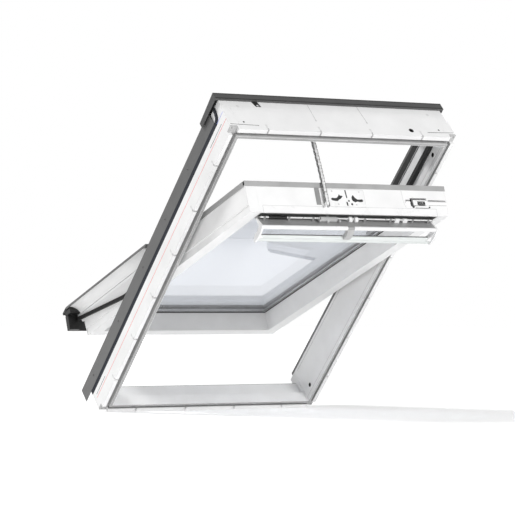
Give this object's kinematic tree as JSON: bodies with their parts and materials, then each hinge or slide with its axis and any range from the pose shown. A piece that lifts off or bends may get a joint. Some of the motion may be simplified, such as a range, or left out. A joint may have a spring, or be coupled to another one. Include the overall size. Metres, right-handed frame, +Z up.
{
  "type": "roof skylight",
  "caption": "Centre-pivot roof window tilted open in its own frame, with double glazing, metal covers, a push-chain opener and a top control bar.",
  "frame": {"origin": "centre of the outer frame, on the plane of its room-side rim", "axes": "+X to the right seen from the room, +Y horizontally outward through the roof, +Z up; the frame leans back at a 45 degree roof pitch"},
  "size_m": [0.794, 1.1363, 0.943],
  "materials": {
    "bar_metal": "pale lacquered aluminium",
    "black_plastic": "black moulded plastic",
    "chain_steel": "bright chain steel",
    "cover_grey": "grey lacquered sheet",
    "foam": "black foam strip",
    "glass": "clear double glazing",
    "grey_plastic": "light grey moulded plastic",
    "hood_grey": "dark grey lacquered sheet",
    "rubber": "black weather seal",
    "slot_grey": "grey slot lining",
    "spacer": "dark warm edge spacer",
    "steel": "zinc plated steel",
    "white": "moulded white lacquered polyurethane"
  },
  "bodies": {
    "frame": {"frame_head": "white", "frame_sill": "white", "frame_jamb_left": "white", "frame_jamb_right": "white", "corner_piece_top_left": "grey_plastic", "corner_piece_top_right": "grey_plastic", "corner_piece_bottom_left": "grey_plastic", "corner_piece_bottom_right": "grey_plastic", "frame_gasket_left": "rubber", "frame_gasket_right": "rubber", "frame_gasket_top": "rubber", "foam_seal_left": "foam", "foam_seal_right": "foam", "frame_cover_left": "cover_grey", "frame_cover_right": "cover_grey", "frame_cover_bottom": "cover_grey", "top_hood": "hood_grey", "hinge_plate_left": "steel", "hinge_plate_right": "steel", "operator_housing": "grey_plastic", "operator_chain": "chain_steel", "bolt_bushes": "steel", "cable_grommet": "rubber"},
    "carriage": {"hinge_disc_left": "steel", "hinge_disc_right": "steel", "chain_end": "steel"},
    "sash": {"sash_top_rail": "white", "sash_bottom_rail": "white", "sash_stile_left": "white", "sash_stile_right": "white", "inner_pane": "glass", "outer_pane": "glass", "glazing_spacer": "spacer", "inner_glazing_gasket": "rubber", "outer_glazing_gasket": "rubber", "sash_cover_top": "cover_grey", "sash_cover_bottom": "cover_grey", "sash_cover_upper_left": "cover_grey", "sash_cover_upper_right": "cover_grey", "sash_cover_lower_left": "cover_grey", "sash_cover_lower_right": "cover_grey", "end_block_left": "black_plastic", "end_block_right": "black_plastic", "sash_gasket_left": "rubber", "sash_gasket_right": "rubber", "sash_gasket_bottom": "rubber", "sash_hinge_left": "steel", "sash_hinge_right": "steel", "lock_plate": "steel", "lock_case": "grey_plastic", "slot_lip": "white", "slot_liner": "slot_grey", "bolt_bracket": "steel"},
    "bolt": {"bolt_rod": "steel"},
    "control_bar": {"vent_flap": "bar_metal", "handle_bar": "bar_metal", "end_cap_left": "white", "end_cap_right": "white", "centre_bracket": "bar_metal", "flap_rod": "steel"}
  },
  "joints": [
    {"name": "sash_opening", "type": "hinge", "parent": "frame", "child": "carriage", "pos_m": [0, 0.1055, 0.09419], "axis": [1, 0, 0], "range_deg": [-25.94, 0], "deforming": ["operator_chain"]},
    {"name": "sash_turnover", "type": "hinge", "parent": "carriage", "child": "sash", "pos_m": [0, 0.1055, 0.09419], "axis": [1, 0, 0], "range_deg": [0, 135.96]},
    {"name": "bolt_slide", "type": "slide", "parent": "sash", "child": "bolt", "axis": [1, 0, 0], "range_m": [0, 0.024]},
    {"name": "control_bar_tilt", "type": "hinge", "parent": "sash", "child": "control_bar", "pos_m": [0, -0.39911, 0.16908], "axis": [1, 0, 0], "range_deg": [-53, 0]}
  ]
}
